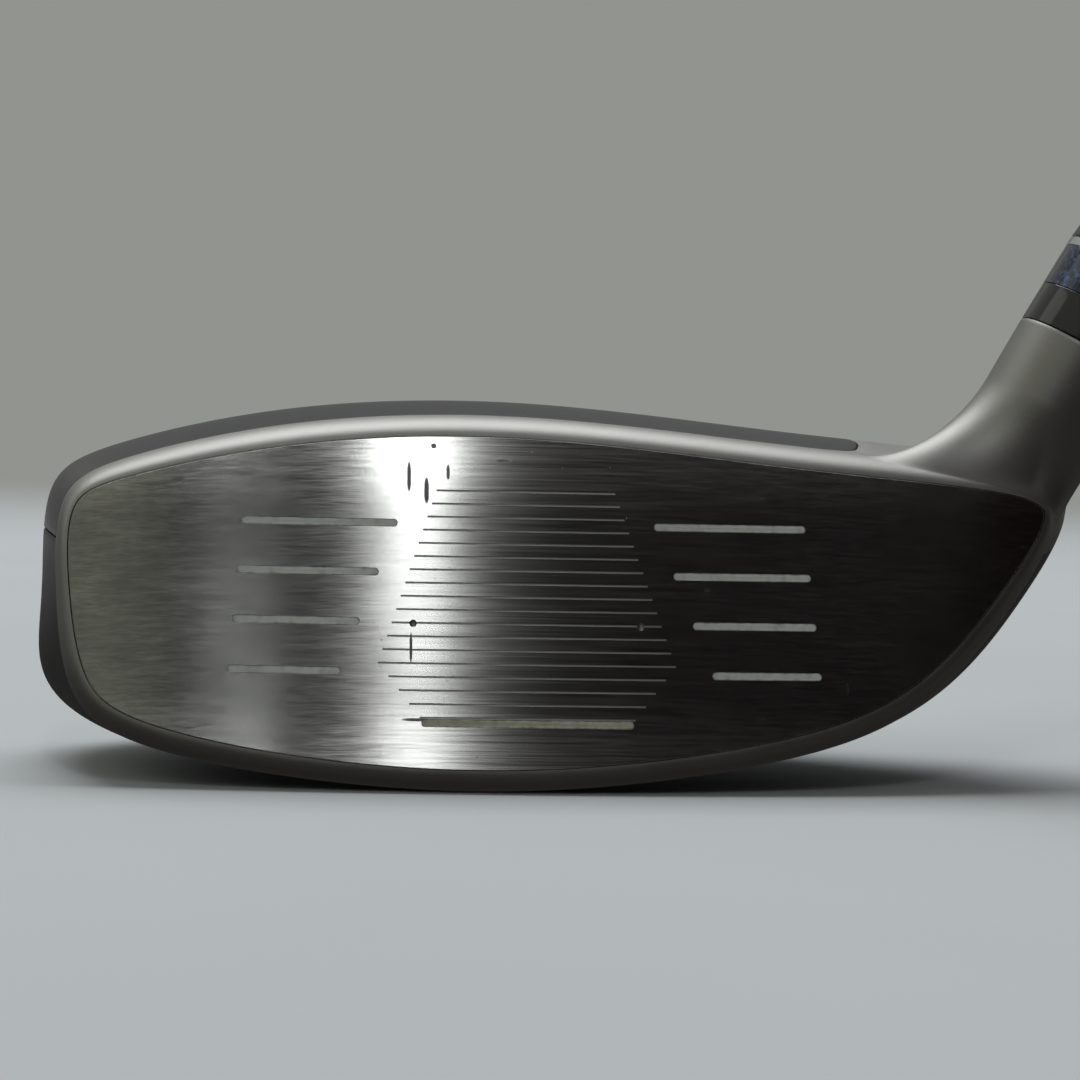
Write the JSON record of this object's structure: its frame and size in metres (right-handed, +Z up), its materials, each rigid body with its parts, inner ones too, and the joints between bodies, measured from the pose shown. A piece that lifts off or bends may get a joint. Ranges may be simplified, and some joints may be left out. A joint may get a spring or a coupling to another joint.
{
  "type": "hybrid golf club",
  "caption": "Right-handed hybrid golf club at address: hollow steel head with a brushed scored face, dark crown, bonded hosel and ferrule, graphite shaft and rubber grip.",
  "frame": {"origin": "on the ground, under the middle of the leading edge, where the sole meets the turf at address", "axes": "+Z up, the face looks towards -Y, the toe is at -X, and the shaft leans to +X at the lie angle"},
  "size_m": [0.585, 0.0615, 0.878],
  "materials": {
    "cast_steel": "satin",
    "satin_steel": "bead blasted satin",
    "crown_paint": "satin",
    "epoxy": "dull",
    "brushed_face": "brushed along the face",
    "white_paint": "matte",
    "weight_metal": "rough",
    "hot_melt": "waxy",
    "port_steel": "turned",
    "washer_rubber": "matte",
    "screw_steel": "turned",
    "cork": "dull",
    "ferrule_black": "polished",
    "ferrule_blue": "metallic flake",
    "ferrule_trim": "polished",
    "graphite": "lacquered",
    "brass": "turned",
    "tape": "matte",
    "grip_rubber": "textured",
    "cap_rubber": "matte"
  },
  "bodies": {
    "root": {"head_body": "cast_steel", "hosel": "satin_steel", "crown": "crown_paint", "crown_adhesive": "epoxy", "face_plate": "brushed_face", "score_line_paint": "white_paint", "sole_weight": "weight_metal", "glue_pad": "hot_melt", "weight_port": "port_steel", "weight_washer": "washer_rubber", "weight_screw": "screw_steel", "hosel_plug": "cork", "shaft_adhesive": "epoxy", "ferrule_base": "ferrule_black", "ferrule_blue_band": "ferrule_blue", "ferrule_trim_ring": "ferrule_trim", "ferrule_taper": "ferrule_black", "shaft": "graphite", "tip_weight": "brass", "grip_tape": "tape", "grip_sleeve": "grip_rubber", "grip_cap": "cap_rubber"}
  },
  "joints": []
}
